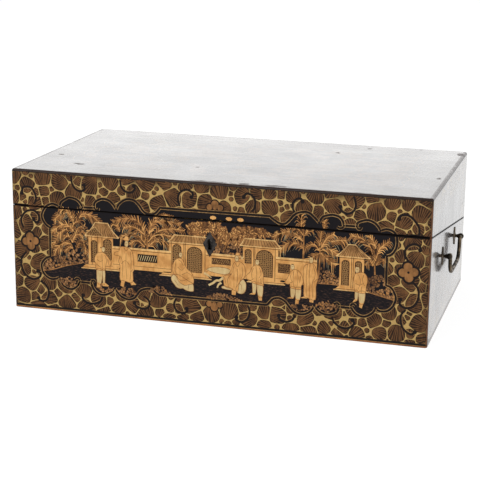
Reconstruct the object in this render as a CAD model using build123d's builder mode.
"""Lacquered travelling writing box that folds out into a writing slope.

The closed box stands on its bottom board with the lock to the front (-Y).
The cut between case and lid falls from the lock down to the hinges, which
sit at half height, so the open lid lies upside down behind the case and
carries the writing slope on.  Lengths are millimetres, +Z is up and the
origin is the middle of the base.
"""
import os
from math import atan2, cos, sin

from build123d import *

os.makedirs("parts", exist_ok=True)

# Outside of the closed box
box_width = 440
box_depth = 250
box_height = 150
cut_front_height = 111.75
corner_radius = 3
top_edge_radius = 2.5
base_edge_radius = 1

# Boards
wall = 10
top_thickness = 7
bottom_thickness = 5
divider_thickness = 6
inkwell_divider_thickness = 4
inkwell_floor_thickness = 5
flap_thickness = 6
ledge_width = 6
ledge_thickness = 5
rail_thickness = 10

# Layout of the inside, measured from the inner faces of the walls
pen_section_depth = 53
inkwell_room = 50
inkwell_floor_height = 30
pen_tray_rim_height = 97
pen_tray_thickness = 13
pen_trough_depth = 9
pen_tray_rim = 6
pen_trough_end_radius = 12
rail_depth = 25

# Cut between case and lid, and the writing surfaces let in below it
cut_gap = 0.8
flap_recess = 2.5
cloth_thickness = 0.8
cloth_border = 14
finger_notch_radius = 11

# Main hinges
hinge_offset = 0.5
hinge_spread = 300
hinge_length = 50
knuckle_count = 5
knuckle_radius = 2.5
hinge_pin_radius = 1.2
pin_head_radius = 1.9
pin_head_thickness = 0.8
leaf_thickness = 1.2
leaf_reach = 9.2
leaf_screw_reach = 6
leaf_screw_spacing = 28
leaf_screw_count = 2

# Small hinges of the writing flaps
flap_hinge_spread = 240
flap_hinge_length = 30
flap_knuckle_radius = 1.1
flap_pin_radius = 0.5
flap_leaf_thickness = 0.7
flap_leaf_depth = 5

# Wood screws
screw_radius = 1
screw_head_radius = 1.9
screw_head_depth = 0.9
screw_length = 8

# Lock, with its bolt drawn back
lock_x = -3
lock_set_back = 6.5
lock_case_width = 56
lock_case_depth = 8
lock_sheet = 0.8
lock_flange = 6
lock_foot = 12
key_height = 90
key_pin_radius = 1.1
key_pin_length = 5.5
keyhole_radius = 2.4
keyhole_width = 3.8
keyhole_drop = 8.7
bolt_travel = 5.5
bolt_thickness = 1.5
bolt_body_height = 6
bolt_reach_left = 22
bolt_reach_right = 14
bolt_stem_width = 2.5
prong_height = 2.6
talon_radius = 2.5
talon_x = -4
guide_spacing = 21
guide_middle_x = -1.5
guide_radius = 1.2
guide_shoulder_radius = 2
guide_head_thickness = 0.6
spring_thickness = 0.4
spring_reach = 18
spring_bend_radius = 6
selvedge_length = 68
selvedge_width = 7
selvedge_thickness = 1.2
selvedge_screw_spacing = 62

# Link plate on the lid, whose two staples drop into the lock
link_plate_length = 50
link_plate_screw_spacing = 38
staple_spacing = 20
staple_thickness = 2
staple_width = 4.1
staple_length = 9.2
staple_eye_depth = 5.2
staple_eye_width = 2.5
staple_eye_height = 4.4

# Escutcheon on the front
escutcheon_width = 14.7
escutcheon_height = 26.5
escutcheon_drop = 3.1
escutcheon_thickness = 0.8
plate_bevel = 0.3

# Drop handles on both sides
handle_height = 73
post_spacing = 87
post_stand = 7
post_ball_radius = 3.2
post_neck_radius = 1.5
post_collar_radius = 2.9
post_collar_thickness = 0.9
post_flare_radius = 2.7
post_shank_radius = 1.9
handle_plate_height = 19.5
handle_plate_width = 9.5
handle_plate_thickness = 1
nut_size = 7.6
nut_thickness = 2.5
nut_recess_radius = 6
bail_radius = 2
bail_drop = 21.5
bail_foot_width = 69
bail_shoulder_radius = 2.7
bail_corner_radius = 15
bail_pin_radius = 1.2
bail_pin_projection = 0.4
bail_shoulder_gap = 0.4

# Turn button that holds the lid's writing flap
button_set_back = 17
button_long_end = 17
button_short_end = 8
button_width = 9
button_thickness = 1.2
button_screw_radius = 1.3
button_screw_head_radius = 2.4
button_screw_head_thickness = 0.8

# Ink bottles
bottle_size = 44
bottle_corner_radius = 6
bottle_body_height = 44
bottle_shoulder_height = 6
bottle_neck_radius = 10
bottle_neck_height = 7
bottle_wall = 3
bottle_bore_radius = 7
cap_wall = 1.4
cap_height = 8
cap_edge_chamfer = 1.2

# Clearances
wood_fit = 0.3
joint_room = 0.3
pin_fit = 0.05
screw_fit = 0.05
slot_room = 0.5
lift_room = 0.15
eye_room = 0.5
staple_room = 1.3

# Places worked out from the sizes above
inner_half_width = box_width / 2 - wall
inner_half_depth = box_depth / 2 - wall
hinge_height = box_height / 2
axis_y = box_depth / 2 + hinge_offset
cut_slope = atan2(cut_front_height - hinge_height, axis_y + box_depth / 2)
divider_front_y = -inner_half_depth + pen_section_depth
rail_rear_y = -inner_half_depth + rail_depth
flap_seam = 2 * flap_knuckle_radius
flap_rear_y = inner_half_depth - flap_seam
hinge_spots = [(x, axis_y, hinge_height) for x in (-hinge_spread / 2, hinge_spread / 2)]
knuckle_pitch = hinge_length / knuckle_count
lengthwise = (0, 90, 0)

CASE, LID = 1, -1
wall_ends = {
    "front": ((-1, -1), (1, -1)),
    "right_side": ((1, -1), (1, 1)),
    "back": ((1, 1), (-1, 1)),
    "left_side": ((-1, 1), (-1, -1)),
}


def finish(piece, name):
    """Label a finished piece and write it out."""
    piece.label = name
    export_step(piece, f"parts/{name}.step")


def cut_face(half):
    """Cut surface of the case or the lid; its z points out of the wood and its y to the hinges."""
    outward = (0, half * sin(cut_slope), half * cos(cut_slope))
    middle = Plane(origin=(0, axis_y, hinge_height), x_dir=(half, 0, 0), z_dir=outward)
    return middle.offset(-cut_gap / 2)


def along_slope(y):
    """Place on the cut face, counted from the hinge axis, that lies at this y."""
    return (y - axis_y) / cos(cut_slope)


def cut_between(half, upper, lower):
    """Keep what lies between two depths below a cut face."""
    split(bisect_by=cut_face(half).offset(-upper), keep=Keep.BOTTOM)
    split(bisect_by=cut_face(half).offset(-lower), keep=Keep.TOP)


# Walls, mitred at the corners
def box_corner(ends, inset):
    """Plan corner of the box at this inset from its outside."""
    return ends[0] * (box_width / 2 - inset), ends[1] * (box_depth / 2 - inset)


def wall_blank(name, half):
    """One wall of the case or the lid, before the cuts for its fittings."""
    first, last = wall_ends[name]
    outside = [box_corner(first, 0), box_corner(last, 0)]
    inside = [box_corner(last, wall), box_corner(first, wall)]
    with BuildPart() as blank:
        with BuildSketch(Plane.XY.offset(bottom_thickness)):
            with BuildLine():
                Polyline(*outside, *inside, close=True)
            make_face()
            RectangleRounded(box_width, box_depth, corner_radius, mode=Mode.INTERSECT)
        extrude(amount=box_height - top_thickness - bottom_thickness)
        split(bisect_by=cut_face(half), keep=Keep.BOTTOM)
    return blank.part


def board(height, thickness):
    """Full board with rounded corners, for the top and the bottom."""
    with BuildPart() as blank:
        with BuildSketch(Plane.XY.offset(height)):
            RectangleRounded(box_width, box_depth, corner_radius)
        extrude(amount=thickness)
    return blank.part


# Screws, which share one shape
def screw_blank(allowance):
    """Countersunk wood screw with its head flush at the origin, or its hole."""
    head = screw_head_radius + allowance
    shank = screw_radius + allowance
    with BuildPart() as blank:
        with BuildSketch(Plane.XZ):
            with BuildLine():
                Polyline(
                    (0, 0), (head, 0), (shank, -screw_head_depth),
                    (shank, -screw_length - allowance), (0, -screw_length - allowance),
                    close=True,
                )
            make_face()
        revolve(axis=Axis.Z)
    return blank.part


screw = screw_blank(0)
screw_hole = screw_blank(screw_fit)


def leaf_screw_points(half):
    """Screws of both hinge leaves on a cut face."""
    half_row = (leaf_screw_count - 1) * leaf_screw_spacing / 2
    return [
        (side * hinge_spread / 2 + step * leaf_screw_spacing - half_row, -leaf_screw_reach)
        for side in (-1, 1)
        for step in range(leaf_screw_count)
    ]


# Main hinges
def knuckle_spots(x, half):
    """Middles of the knuckles that one leaf carries."""
    first = 0 if half == CASE else 1
    start = x - hinge_length / 2 + knuckle_pitch / 2
    return [(start + i * knuckle_pitch, axis_y, hinge_height) for i in range(first, knuckle_count, 2)]


def hinge_leaf(x, half):
    """Hinge leaf let into a cut face, with its own knuckles."""
    with BuildPart() as leaf:
        with BuildSketch(cut_face(half)):
            with Locations((half * x, -leaf_reach / 2)):
                Rectangle(hinge_length, leaf_reach)
        extrude(amount=-leaf_thickness)
        with Locations(*knuckle_spots(x, -half)):
            Cylinder(
                knuckle_radius + joint_room, knuckle_pitch, rotation=lengthwise, mode=Mode.SUBTRACT
            )
        with Locations(*knuckle_spots(x, half)):
            Cylinder(knuckle_radius, knuckle_pitch - joint_room, rotation=lengthwise)
        with Locations((x, axis_y, hinge_height)):
            Cylinder(
                hinge_pin_radius + pin_fit, hinge_length, rotation=lengthwise, mode=Mode.SUBTRACT
            )
        with Locations(cut_face(half)):
            with Locations(*leaf_screw_points(half)):
                add(screw_hole, mode=Mode.SUBTRACT)
    return leaf.part


def cut_hinge_seats(half):
    """Cut the seats of both hinges into a back wall."""
    seat_length = hinge_length + 2 * joint_room
    with BuildSketch(cut_face(half)) as seats:
        with Locations((-hinge_spread / 2, -leaf_reach / 2), (hinge_spread / 2, -leaf_reach / 2)):
            Rectangle(seat_length, leaf_reach)
    extrude(seats.sketch, amount=-leaf_thickness, mode=Mode.SUBTRACT)
    notch_length = seat_length + 2 * (pin_head_thickness + joint_room)
    with Locations(*hinge_spots):
        Cylinder(
            knuckle_radius + joint_room, notch_length, rotation=lengthwise, mode=Mode.SUBTRACT
        )
    with Locations(cut_face(half)):
        with Locations(*leaf_screw_points(half)):
            add(screw_hole, mode=Mode.SUBTRACT)


def leaf_screws(half):
    """Screws of both leaves of the case or the lid."""
    with BuildPart() as screws:
        with Locations(cut_face(half)):
            with Locations(*leaf_screw_points(half)):
                add(screw)
    return screws.part


# Lock plane: inner face of the front wall at the lock, z towards the front, y up
inner_front = Plane(
    origin=(lock_x, -inner_half_depth, 0), x_dir=(1, 0, 0), z_dir=(0, -1, 0)
)
outer_front = Plane(
    origin=(lock_x, -box_depth / 2, 0), x_dir=(1, 0, 0), z_dir=(0, -1, 0)
)
lock_y = -box_depth / 2 + lock_set_back
lock_v = along_slope(lock_y)
lock_bottom = key_height - lock_foot
eye = cut_face(CASE).from_local_coords((lock_x, lock_v, cut_gap - staple_eye_depth))
bolt_set = -inner_half_depth - eye.Y - bolt_thickness / 2
staple_xs = (-staple_spacing / 2, staple_spacing / 2)
bolt_body_top = eye.Z - staple_length + staple_eye_depth - staple_room
bolt_body_middle = bolt_body_top - bolt_body_height / 2
guide_xs = (guide_middle_x - guide_spacing / 2, guide_middle_x + guide_spacing / 2)


def keyhole():
    """Keyhole outline around the key pin."""
    with Locations((0, key_height)):
        Circle(keyhole_radius)
    with Locations((0, key_height - keyhole_drop / 2)):
        Rectangle(keyhole_width, keyhole_drop)


def lozenge(width, height):
    """Upright lozenge, the outline of every plate outside."""
    half_wide = width / 2
    half_tall = height / 2
    with BuildSketch() as plate:
        with BuildLine():
            Polyline((half_wide, 0), (0, half_tall), (-half_wide, 0), (0, -half_tall), close=True)
        make_face()
    return plate.sketch


def lock_mortise(clearance):
    """Outline of the lock's body on the wall, open to the cut."""
    with Locations((0, lock_bottom + box_height / 2 - clearance)):
        Rectangle(lock_case_width + 2 * clearance, box_height)


def flange_outline(clearance):
    """Outline of the lock's back plate on the wall, open to the cut."""
    with Locations((0, lock_bottom - lock_flange / 2 + box_height / 2 - clearance)):
        Rectangle(lock_case_width + 2 * (lock_flange + clearance), box_height)


# Handles
def side_plane(side, out):
    """Plane off a side wall at handle height, its z outwards and its y up."""
    return Plane(
        origin=(side * (box_width / 2 + out), 0, handle_height),
        x_dir=(0, side, 0),
        z_dir=(side, 0, 0),
    )


post_spots = [(-post_spacing / 2, 0), (post_spacing / 2, 0)]


def cut_handle_holes(side):
    """Cut the shank holes and the nut recesses into a side wall."""
    with BuildSketch(side_plane(side, 0)) as shank_holes:
        with Locations(*post_spots):
            Circle(post_shank_radius + screw_fit)
    extrude(shank_holes.sketch, amount=-wall, mode=Mode.SUBTRACT)
    with BuildSketch(side_plane(side, -wall)) as nut_recesses:
        with Locations(*post_spots):
            Circle(nut_recess_radius)
    extrude(nut_recesses.sketch, amount=nut_thickness, mode=Mode.SUBTRACT)


# Case: bottom, walls and the inside
with BuildPart() as bottom_board:
    add(board(0, bottom_thickness))
    fillet(bottom_board.faces().sort_by(Axis.Z)[0].edges(), base_edge_radius)
finish(bottom_board.part, "bottom_board")

with BuildPart() as case_front:
    add(wall_blank("front", CASE))
    with BuildSketch(inner_front):
        lock_mortise(lift_room)
    extrude(amount=lock_case_depth, mode=Mode.SUBTRACT)
    with BuildSketch(inner_front):
        flange_outline(lift_room)
    extrude(amount=lock_sheet, mode=Mode.SUBTRACT)
    with BuildSketch(outer_front):
        keyhole()
    extrude(amount=-wall, mode=Mode.SUBTRACT)
    with BuildSketch(cut_face(CASE)):
        with Locations((lock_x, lock_v)):
            Rectangle(selvedge_length, selvedge_width)
    extrude(amount=-selvedge_thickness, mode=Mode.SUBTRACT)
    with Locations(cut_face(CASE)):
        with Locations((lock_x, lock_v)):
            with GridLocations(selvedge_screw_spacing, 0, 2, 1):
                add(screw_hole, mode=Mode.SUBTRACT)
finish(case_front.part, "case_front")

with BuildPart() as case_back:
    add(wall_blank("back", CASE))
    cut_hinge_seats(CASE)
finish(case_back.part, "case_back")

for side, name in ((1, "right_side"), (-1, "left_side")):
    with BuildPart() as case_side:
        add(wall_blank(name, CASE))
        cut_handle_holes(side)
    finish(case_side.part, f"case_{name}")

with BuildPart() as storage_divider:
    with BuildSketch(Plane.XY.offset(bottom_thickness)):
        with Locations((0, divider_front_y + divider_thickness / 2)):
            Rectangle(2 * inner_half_width, divider_thickness)
    extrude(amount=box_height)
    split(bisect_by=cut_face(CASE).offset(-flap_recess - flap_thickness), keep=Keep.BOTTOM)
finish(storage_divider.part, "storage_divider")

pen_section_y = -inner_half_depth + pen_section_depth / 2
inkwell_divider_x = inner_half_width - inkwell_room - inkwell_divider_thickness / 2
inkwell_x = inner_half_width - inkwell_room / 2
for side, name in ((1, "right"), (-1, "left")):
    with BuildPart() as inkwell_divider:
        with BuildSketch(Plane.XY.offset(bottom_thickness)):
            with Locations((side * inkwell_divider_x, pen_section_y)):
                Rectangle(inkwell_divider_thickness, pen_section_depth)
        extrude(amount=box_height)
        split(bisect_by=cut_face(CASE).offset(-flap_recess), keep=Keep.BOTTOM)
    finish(inkwell_divider.part, f"{name}_inkwell_divider")

with BuildPart() as inkwell_floors:
    with BuildSketch(Plane.XY.offset(inkwell_floor_height)):
        with Locations((-inkwell_x, pen_section_y), (inkwell_x, pen_section_y)):
            Rectangle(inkwell_room, pen_section_depth)
    extrude(amount=inkwell_floor_thickness)
finish(inkwell_floors.part, "inkwell_floors")

bottle_base = inkwell_floor_height + inkwell_floor_thickness
bottle_neck_base = bottle_base + bottle_body_height + bottle_shoulder_height
bottle_top = bottle_neck_base + bottle_neck_height
for side, name in ((1, "right"), (-1, "left")):
    middle = (side * inkwell_x, pen_section_y)
    with BuildPart() as ink_bottle:
        with BuildSketch(Plane.XY.offset(bottle_base)):
            with Locations(middle):
                RectangleRounded(bottle_size, bottle_size, bottle_corner_radius)
        extrude(amount=bottle_body_height)
        with BuildSketch(Plane.XY.offset(bottle_base + bottle_body_height)) as shoulder:
            with Locations(middle):
                RectangleRounded(bottle_size, bottle_size, bottle_corner_radius)
        extrude(amount=bottle_shoulder_height, taper=60)
        with BuildSketch(Plane.XY.offset(bottle_base + bottle_body_height)):
            with Locations(middle):
                Circle(bottle_neck_radius)
        extrude(amount=bottle_shoulder_height + bottle_neck_height)
        with BuildSketch(Plane.XY.offset(bottle_base + bottle_wall)):
            with Locations(middle):
                inner_size = bottle_size - 2 * bottle_wall
                RectangleRounded(inner_size, inner_size, bottle_corner_radius - bottle_wall)
        extrude(amount=bottle_body_height - 2 * bottle_wall, mode=Mode.SUBTRACT)
        with BuildSketch(Plane.XY.offset(bottle_base + bottle_wall)):
            with Locations(middle):
                Circle(bottle_bore_radius)
        extrude(amount=bottle_top, mode=Mode.SUBTRACT)
    finish(ink_bottle.part, f"{name}_ink_bottle")

    with BuildPart() as ink_cap:
        with BuildSketch(Plane.XY.offset(bottle_top + cap_wall - cap_height)):
            with Locations(middle):
                Circle(bottle_neck_radius + screw_fit + cap_wall)
        extrude(amount=cap_height)
        chamfer(ink_cap.edges().group_by(Axis.Z)[-1], cap_edge_chamfer)
        with BuildSketch(Plane.XY.offset(bottle_top)):
            with Locations(middle):
                Circle(bottle_neck_radius + screw_fit)
        extrude(amount=cap_wall - cap_height, mode=Mode.SUBTRACT)
    finish(ink_cap.part, f"{name}_ink_cap")

pen_tray_length = 2 * (inner_half_width - inkwell_room - inkwell_divider_thickness - wood_fit)
pen_tray_depth = pen_section_depth - 2 * wood_fit
pen_trough_length = pen_tray_length - 2 * pen_tray_rim
pen_trough_width = pen_tray_depth - 2 * pen_tray_rim
with BuildPart() as pen_tray:
    with BuildSketch(Plane.XY.offset(pen_tray_rim_height)):
        with Locations((0, pen_section_y)):
            Rectangle(pen_tray_length, pen_tray_depth)
    extrude(amount=-pen_tray_thickness)
    with BuildSketch(Plane.XY.offset(pen_tray_rim_height)):
        with Locations((0, pen_section_y)):
            RectangleRounded(pen_trough_length, pen_trough_width, pen_trough_end_radius)
    extrude(amount=-pen_trough_depth, taper=40, mode=Mode.SUBTRACT)
finish(pen_tray.part, "pen_tray")

with BuildPart() as pen_tray_bearers:
    bearer_x = inkwell_divider_x - (inkwell_divider_thickness + ledge_width) / 2
    with BuildSketch(Plane.XY.offset(pen_tray_rim_height - pen_tray_thickness)):
        with Locations((-bearer_x, pen_section_y), (bearer_x, pen_section_y)):
            Rectangle(ledge_width, pen_section_depth)
    extrude(amount=-ledge_thickness)
finish(pen_tray_bearers.part, "pen_tray_bearers")

# Lid: top and walls
with BuildPart() as top_board:
    add(board(box_height - top_thickness, top_thickness))
    fillet(top_board.faces().sort_by(Axis.Z)[-1].edges(), top_edge_radius)
finish(top_board.part, "top_board")

with BuildPart() as lid_front:
    add(wall_blank("front", LID))
    with BuildSketch(cut_face(LID)):
        with Locations((-lock_x, lock_v)):
            Rectangle(link_plate_length, selvedge_width)
    extrude(amount=-selvedge_thickness, mode=Mode.SUBTRACT)
    with Locations(cut_face(LID)):
        with Locations((-lock_x, lock_v)):
            with GridLocations(link_plate_screw_spacing, 0, 2, 1):
                add(screw_hole, mode=Mode.SUBTRACT)
finish(lid_front.part, "lid_front")

with BuildPart() as lid_back:
    add(wall_blank("back", LID))
    cut_hinge_seats(LID)
finish(lid_back.part, "lid_back")

for name in ("right_side", "left_side"):
    finish(wall_blank(name, LID), f"lid_{name}")

with BuildPart() as lid_catch_rail:
    with BuildSketch():
        with Locations((0, rail_rear_y - rail_depth / 2)):
            Rectangle(2 * inner_half_width, rail_depth)
    extrude(amount=box_height)
    cut_between(LID, flap_recess, flap_recess + rail_thickness)
    with Locations(cut_face(LID).offset(-flap_recess)):
        with Locations((0, along_slope(-inner_half_depth + button_set_back))):
            Cylinder(
                button_screw_radius + screw_fit, 2 * screw_length, mode=Mode.SUBTRACT
            )
finish(lid_catch_rail.part, "lid_catch_rail")

# Writing flaps, their cloths, ledges and hinges, alike in the case and the lid
flap_front_y = {CASE: divider_front_y, LID: rail_rear_y + wood_fit}
ledge_front_y = {CASE: divider_front_y + divider_thickness, LID: rail_rear_y}
half_names = {CASE: "case", LID: "lid"}


def flap_hinge(x, half):
    """Small butt hinge in the seam behind a flap: wall leaf with its pin, and flap leaf."""
    seam_y = inner_half_depth - flap_knuckle_radius
    barrel = cut_face(half).from_local_coords((0, along_slope(seam_y), -flap_recess))
    pitch = flap_hinge_length / 3
    steps = {"wall": (-1, 1), "flap": (0,)}
    leaf_y = {
        "wall": inner_half_depth - flap_leaf_thickness / 2,
        "flap": flap_rear_y + flap_leaf_thickness / 2,
    }
    solids = []
    for own, other in (("wall", "flap"), ("flap", "wall")):
        with BuildPart() as leaf:
            with Locations((x, leaf_y[own], barrel.Z - half * flap_leaf_depth / 2)):
                Box(flap_hinge_length, flap_leaf_thickness, flap_leaf_depth)
            with Locations(*[(x + i * pitch, seam_y, barrel.Z) for i in steps[other]]):
                Cylinder(
                    flap_knuckle_radius + joint_room, pitch, rotation=lengthwise,
                    mode=Mode.SUBTRACT,
                )
            with Locations(*[(x + i * pitch, seam_y, barrel.Z) for i in steps[own]]):
                Cylinder(flap_knuckle_radius, pitch - joint_room, rotation=lengthwise)
            with Locations((x, seam_y, barrel.Z)):
                if own == "wall":
                    Cylinder(flap_pin_radius, flap_hinge_length, rotation=lengthwise)
                else:
                    Cylinder(
                        flap_pin_radius + pin_fit, flap_hinge_length, rotation=lengthwise,
                        mode=Mode.SUBTRACT,
                    )
        solids.append(leaf.part)
    return solids


for half in (CASE, LID):
    owner = half_names[half]
    flap_depth = flap_rear_y - flap_front_y[half]
    flap_middle_y = (flap_rear_y + flap_front_y[half]) / 2
    flap_width = 2 * (inner_half_width - wood_fit)
    with BuildPart() as writing_flap:
        with BuildSketch():
            with Locations((0, flap_middle_y)):
                Rectangle(flap_width, flap_depth)
            with Locations((0, flap_front_y[half])):
                Circle(finger_notch_radius, mode=Mode.SUBTRACT)
        extrude(amount=box_height)
        cut_between(half, flap_recess, flap_recess + flap_thickness)
    finish(writing_flap.part, f"{owner}_writing_flap")

    with BuildPart() as writing_cloth:
        with BuildSketch():
            with Locations((0, flap_middle_y)):
                Rectangle(flap_width - 2 * cloth_border, flap_depth - 2 * cloth_border)
        extrude(amount=box_height)
        cut_between(half, flap_recess - cloth_thickness, flap_recess)
    finish(writing_cloth.part, f"{owner}_writing_cloth")

    with BuildPart() as flap_ledges:
        ledge_depth = inner_half_depth - ledge_front_y[half]
        ledge_x = inner_half_width - ledge_width / 2
        ledge_y = inner_half_depth - ledge_depth / 2
        with BuildSketch():
            with Locations((-ledge_x, ledge_y), (ledge_x, ledge_y)):
                Rectangle(ledge_width, ledge_depth)
        extrude(amount=box_height)
        ledge_top = flap_recess + flap_thickness
        cut_between(half, ledge_top, ledge_top + ledge_thickness)
    finish(flap_ledges.part, f"{owner}_flap_ledges")

    hinge_solids = flap_hinge(-flap_hinge_spread / 2, half) + flap_hinge(flap_hinge_spread / 2, half)
    with BuildPart() as flap_hinges:
        add(hinge_solids)
    finish(flap_hinges.part, f"{owner}_flap_hinges")

    for side, side_name in ((-1, "left"), (1, "right")):
        finish(hinge_leaf(side * hinge_spread / 2, half), f"{side_name}_hinge_{owner}_leaf")
    finish(leaf_screws(half), f"{owner}_hinge_screws")

with BuildPart() as hinge_pins:
    with Locations(*hinge_spots):
        Cylinder(hinge_pin_radius, hinge_length, rotation=lengthwise)
    head_out = (hinge_length + pin_head_thickness) / 2
    with Locations(*[(x + end * head_out, y, z) for x, y, z in hinge_spots for end in (-1, 1)]):
        Cylinder(pin_head_radius, pin_head_thickness, rotation=lengthwise)
finish(hinge_pins.part, "hinge_pins")

# Lock in the front wall
with BuildPart() as lock_case:
    with BuildSketch(inner_front):
        flange_outline(0)
    extrude(amount=lock_sheet)
    with BuildSketch(inner_front):
        lock_mortise(0)
    extrude(amount=lock_case_depth)
    with BuildSketch(inner_front.offset(lock_sheet)):
        with Locations((0, lock_bottom + lock_sheet + box_height / 2)):
            Rectangle(lock_case_width - 2 * lock_sheet, box_height)
    extrude(amount=lock_case_depth - 2 * lock_sheet, mode=Mode.SUBTRACT)
    with BuildSketch(inner_front.offset(lock_case_depth)):
        keyhole()
    extrude(amount=-lock_sheet, mode=Mode.SUBTRACT)
    split(bisect_by=cut_face(CASE).offset(-selvedge_thickness), keep=Keep.BOTTOM)
finish(lock_case.part, "lock_case")

with BuildPart() as lock_selvedge:
    with BuildSketch(cut_face(CASE)):
        with Locations((lock_x, lock_v)):
            Rectangle(selvedge_length, selvedge_width)
            with Locations(*[(x, 0) for x in staple_xs]):
                Rectangle(
                    staple_thickness + 2 * slot_room, staple_width + 2 * slot_room,
                    mode=Mode.SUBTRACT,
                )
    extrude(amount=-selvedge_thickness)
    with Locations(cut_face(CASE)):
        with Locations((lock_x, lock_v)):
            with GridLocations(selvedge_screw_spacing, 0, 2, 1):
                add(screw_hole, mode=Mode.SUBTRACT)
finish(lock_selvedge.part, "lock_selvedge")

with BuildPart() as lock_screws:
    with Locations(cut_face(CASE)):
        with Locations((lock_x, lock_v)):
            with GridLocations(selvedge_screw_spacing, 0, 2, 1):
                add(screw)
finish(lock_screws.part, "lock_screws")

with BuildPart() as lock_bolt:
    body_length = bolt_reach_left + bolt_reach_right
    with BuildSketch(inner_front.offset(bolt_set)):
        with Locations(((bolt_reach_right - bolt_reach_left) / 2, bolt_body_middle)):
            Rectangle(body_length, bolt_body_height)
        for x in staple_xs:
            prong_tip = x - staple_thickness / 2 - eye_room
            prong_root = prong_tip - bolt_travel - bolt_stem_width
            stem_height = eye.Z + prong_height / 2 - bolt_body_top
            with Locations(((prong_tip + prong_root) / 2, eye.Z)):
                Rectangle(prong_tip - prong_root, prong_height)
            with Locations((prong_root + bolt_stem_width / 2, bolt_body_top + stem_height / 2)):
                Rectangle(bolt_stem_width, stem_height)
        with Locations((talon_x, bolt_body_top - bolt_body_height)):
            Circle(talon_radius, mode=Mode.SUBTRACT)
        slot_width = 2 * (guide_radius + lift_room)
        with Locations(*[(x - bolt_travel / 2, bolt_body_middle) for x in guide_xs]):
            SlotOverall(bolt_travel + slot_width, slot_width, mode=Mode.SUBTRACT)
    extrude(amount=bolt_thickness)
finish(lock_bolt.part, "lock_bolt")

with BuildPart() as lock_guides:
    for start, end, radius in (
        (lock_sheet, bolt_set - lift_room, guide_shoulder_radius),
        (bolt_set - lift_room, bolt_set + bolt_thickness + lift_room, guide_radius),
        (
            bolt_set + bolt_thickness + lift_room,
            bolt_set + bolt_thickness + lift_room + guide_head_thickness,
            guide_shoulder_radius,
        ),
    ):
        with BuildSketch(inner_front.offset(start)):
            with Locations(*[(x, bolt_body_middle) for x in guide_xs]):
                Circle(radius)
        extrude(amount=end - start)
finish(lock_guides.part, "lock_guides")

with BuildPart() as lock_key_pin:
    with BuildSketch(inner_front.offset(lock_sheet)):
        with Locations((0, key_height)):
            Circle(key_pin_radius)
    extrude(amount=key_pin_length)
finish(lock_key_pin.part, "lock_key_pin")

spring_foot = (
    lock_case_width / 2 - lock_sheet - spring_thickness / 2,
    lock_bottom + lock_sheet,
)
spring_tip = (
    spring_foot[0] - spring_reach,
    bolt_body_top - bolt_body_height - joint_room - spring_thickness,
)
with BuildPart() as lock_spring:
    with BuildSketch(inner_front.offset(bolt_set)):
        with BuildLine():
            FilletPolyline(
                spring_foot, (spring_foot[0], spring_tip[1]), spring_tip, radius=spring_bend_radius
            )
        trace(line_width=spring_thickness)
    extrude(amount=bolt_thickness)
finish(lock_spring.part, "lock_spring")

with BuildPart() as escutcheon:
    with BuildSketch(outer_front):
        with Locations((0, key_height - escutcheon_drop)):
            add(lozenge(escutcheon_width, escutcheon_height))
    extrude(amount=escutcheon_thickness)
    chamfer(escutcheon.faces().sort_by(Axis.Y)[0].edges(), plate_bevel)
    with BuildSketch(outer_front):
        keyhole()
    extrude(amount=escutcheon_thickness, mode=Mode.SUBTRACT)
finish(escutcheon.part, "escutcheon")

with BuildPart() as link_plate:
    with BuildSketch(cut_face(LID)):
        with Locations((-lock_x, lock_v)):
            Rectangle(link_plate_length, selvedge_width)
    extrude(amount=-selvedge_thickness)
    with Locations(cut_face(LID)):
        with Locations((-lock_x, lock_v)):
            with GridLocations(link_plate_screw_spacing, 0, 2, 1):
                add(screw_hole, mode=Mode.SUBTRACT)
finish(link_plate.part, "link_plate")

with BuildPart() as link_staples:
    with BuildSketch(cut_face(LID)):
        with Locations((-lock_x, lock_v)):
            with Locations(*[(x, 0) for x in staple_xs]):
                Rectangle(staple_thickness, staple_width)
    extrude(amount=staple_length)
    with Locations(cut_face(LID)):
        with Locations((-lock_x, lock_v, staple_eye_depth)):
            with GridLocations(staple_spacing, 0, 2, 1):
                Box(2 * staple_thickness, staple_eye_width, staple_eye_height, mode=Mode.SUBTRACT)
finish(link_staples.part, "link_staples")

with BuildPart() as link_plate_screws:
    with Locations(cut_face(LID)):
        with Locations((-lock_x, lock_v)):
            with GridLocations(link_plate_screw_spacing, 0, 2, 1):
                add(screw)
finish(link_plate_screws.part, "link_plate_screws")

# Turn button on the lid's rail
button_v = along_slope(-inner_half_depth + button_set_back)
button_base = cut_face(LID).offset(-flap_recess + lift_room)
with BuildPart() as flap_button:
    with BuildSketch(button_base):
        with Locations((0, button_v + (button_long_end - button_short_end) / 2)):
            SlotOverall(button_long_end + button_short_end, button_width, rotation=90)
        with Locations((0, button_v)):
            Circle(button_screw_radius + lift_room, mode=Mode.SUBTRACT)
    extrude(amount=button_thickness)
finish(flap_button.part, "flap_button")

with BuildPart() as flap_button_screw:
    with BuildSketch(cut_face(LID).offset(-flap_recess - screw_length)):
        with Locations((0, button_v)):
            Circle(button_screw_radius)
    extrude(amount=screw_length + button_thickness + 2 * lift_room)
    with BuildSketch(button_base.offset(button_thickness + lift_room)):
        with Locations((0, button_v)):
            Circle(button_screw_head_radius)
    extrude(amount=button_screw_head_thickness)
finish(flap_button_screw.part, "flap_button_screw")

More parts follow.
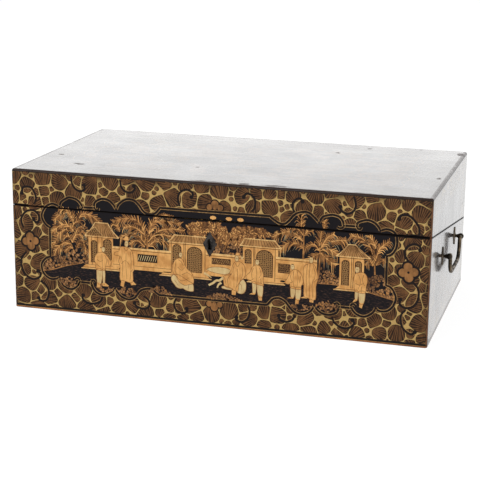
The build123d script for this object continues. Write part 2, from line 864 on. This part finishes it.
# Drop handles, the same on both sides
with BuildPart() as handle_post:
    with BuildSketch(Plane.XZ):
        with BuildLine():
            neck = handle_plate_thickness + post_collar_thickness
            flare = post_stand - post_ball_radius / 2
            Polyline(
                (0, -wall), (post_shank_radius, -wall), (post_shank_radius, handle_plate_thickness),
                (post_collar_radius, handle_plate_thickness), (post_neck_radius, neck),
                (post_flare_radius, flare), (0, flare), close=True,
            )
        make_face()
    revolve(axis=Axis.Z)
    with Locations((0, 0, post_stand)):
        Sphere(post_ball_radius)
        Cylinder(
            bail_pin_radius + pin_fit, 3 * post_ball_radius, rotation=lengthwise,
            mode=Mode.SUBTRACT,
        )

for side, name in ((1, "right"), (-1, "left")):
    for spot, place in ((-side, "front"), (side, "rear")):
        with BuildPart() as post:
            with Locations(side_plane(side, 0)):
                with Locations((spot * post_spacing / 2, 0)):
                    add(handle_post.part)
        finish(post.part, f"{name}_handle_{place}_post")

    with BuildPart() as backplates:
        with BuildSketch(side_plane(side, 0)):
            with Locations(*post_spots):
                add(lozenge(handle_plate_width, handle_plate_height))
        extrude(amount=handle_plate_thickness)
        chamfer(backplates.edges().group_by(Axis.X)[-1 if side > 0 else 0], plate_bevel)
        with BuildSketch(side_plane(side, 0)):
            with Locations(*post_spots):
                Circle(post_shank_radius + screw_fit)
        extrude(amount=handle_plate_thickness, mode=Mode.SUBTRACT)
    finish(backplates.part, f"{name}_handle_backplates")

    with BuildPart() as nuts:
        with BuildSketch(side_plane(side, -wall)):
            with Locations(*post_spots):
                Rectangle(nut_size, nut_size)
                Circle(post_shank_radius + screw_fit, mode=Mode.SUBTRACT)
        extrude(amount=nut_thickness)
    finish(nuts.part, f"{name}_handle_nuts")

    shoulder = post_spacing / 2 - post_ball_radius - bail_shoulder_gap
    limb = shoulder - bail_radius - bail_shoulder_radius
    bail_plane = side_plane(side, post_stand)
    with BuildPart() as bail:
        with BuildLine(bail_plane) as rod_path:
            FilletPolyline(
                (-shoulder, 0), (-limb, 0), (-bail_foot_width / 2, -bail_drop),
                (bail_foot_width / 2, -bail_drop), (limb, 0), (shoulder, 0),
                radius=[
                    bail_shoulder_radius, bail_corner_radius, bail_corner_radius,
                    bail_shoulder_radius,
                ],
            )
        with BuildSketch(Plane(origin=rod_path.line @ 0, z_dir=rod_path.line % 0)):
            Circle(bail_radius)
        sweep()
        pin_length = bail_shoulder_gap + 2 * post_ball_radius + bail_pin_projection + bail_radius
        pin_middle = shoulder - bail_radius + pin_length / 2
        with Locations(bail_plane):
            with Locations((-pin_middle, 0), (pin_middle, 0)):
                Cylinder(bail_pin_radius, pin_length, rotation=lengthwise)
    finish(bail.part, f"{name}_bail")
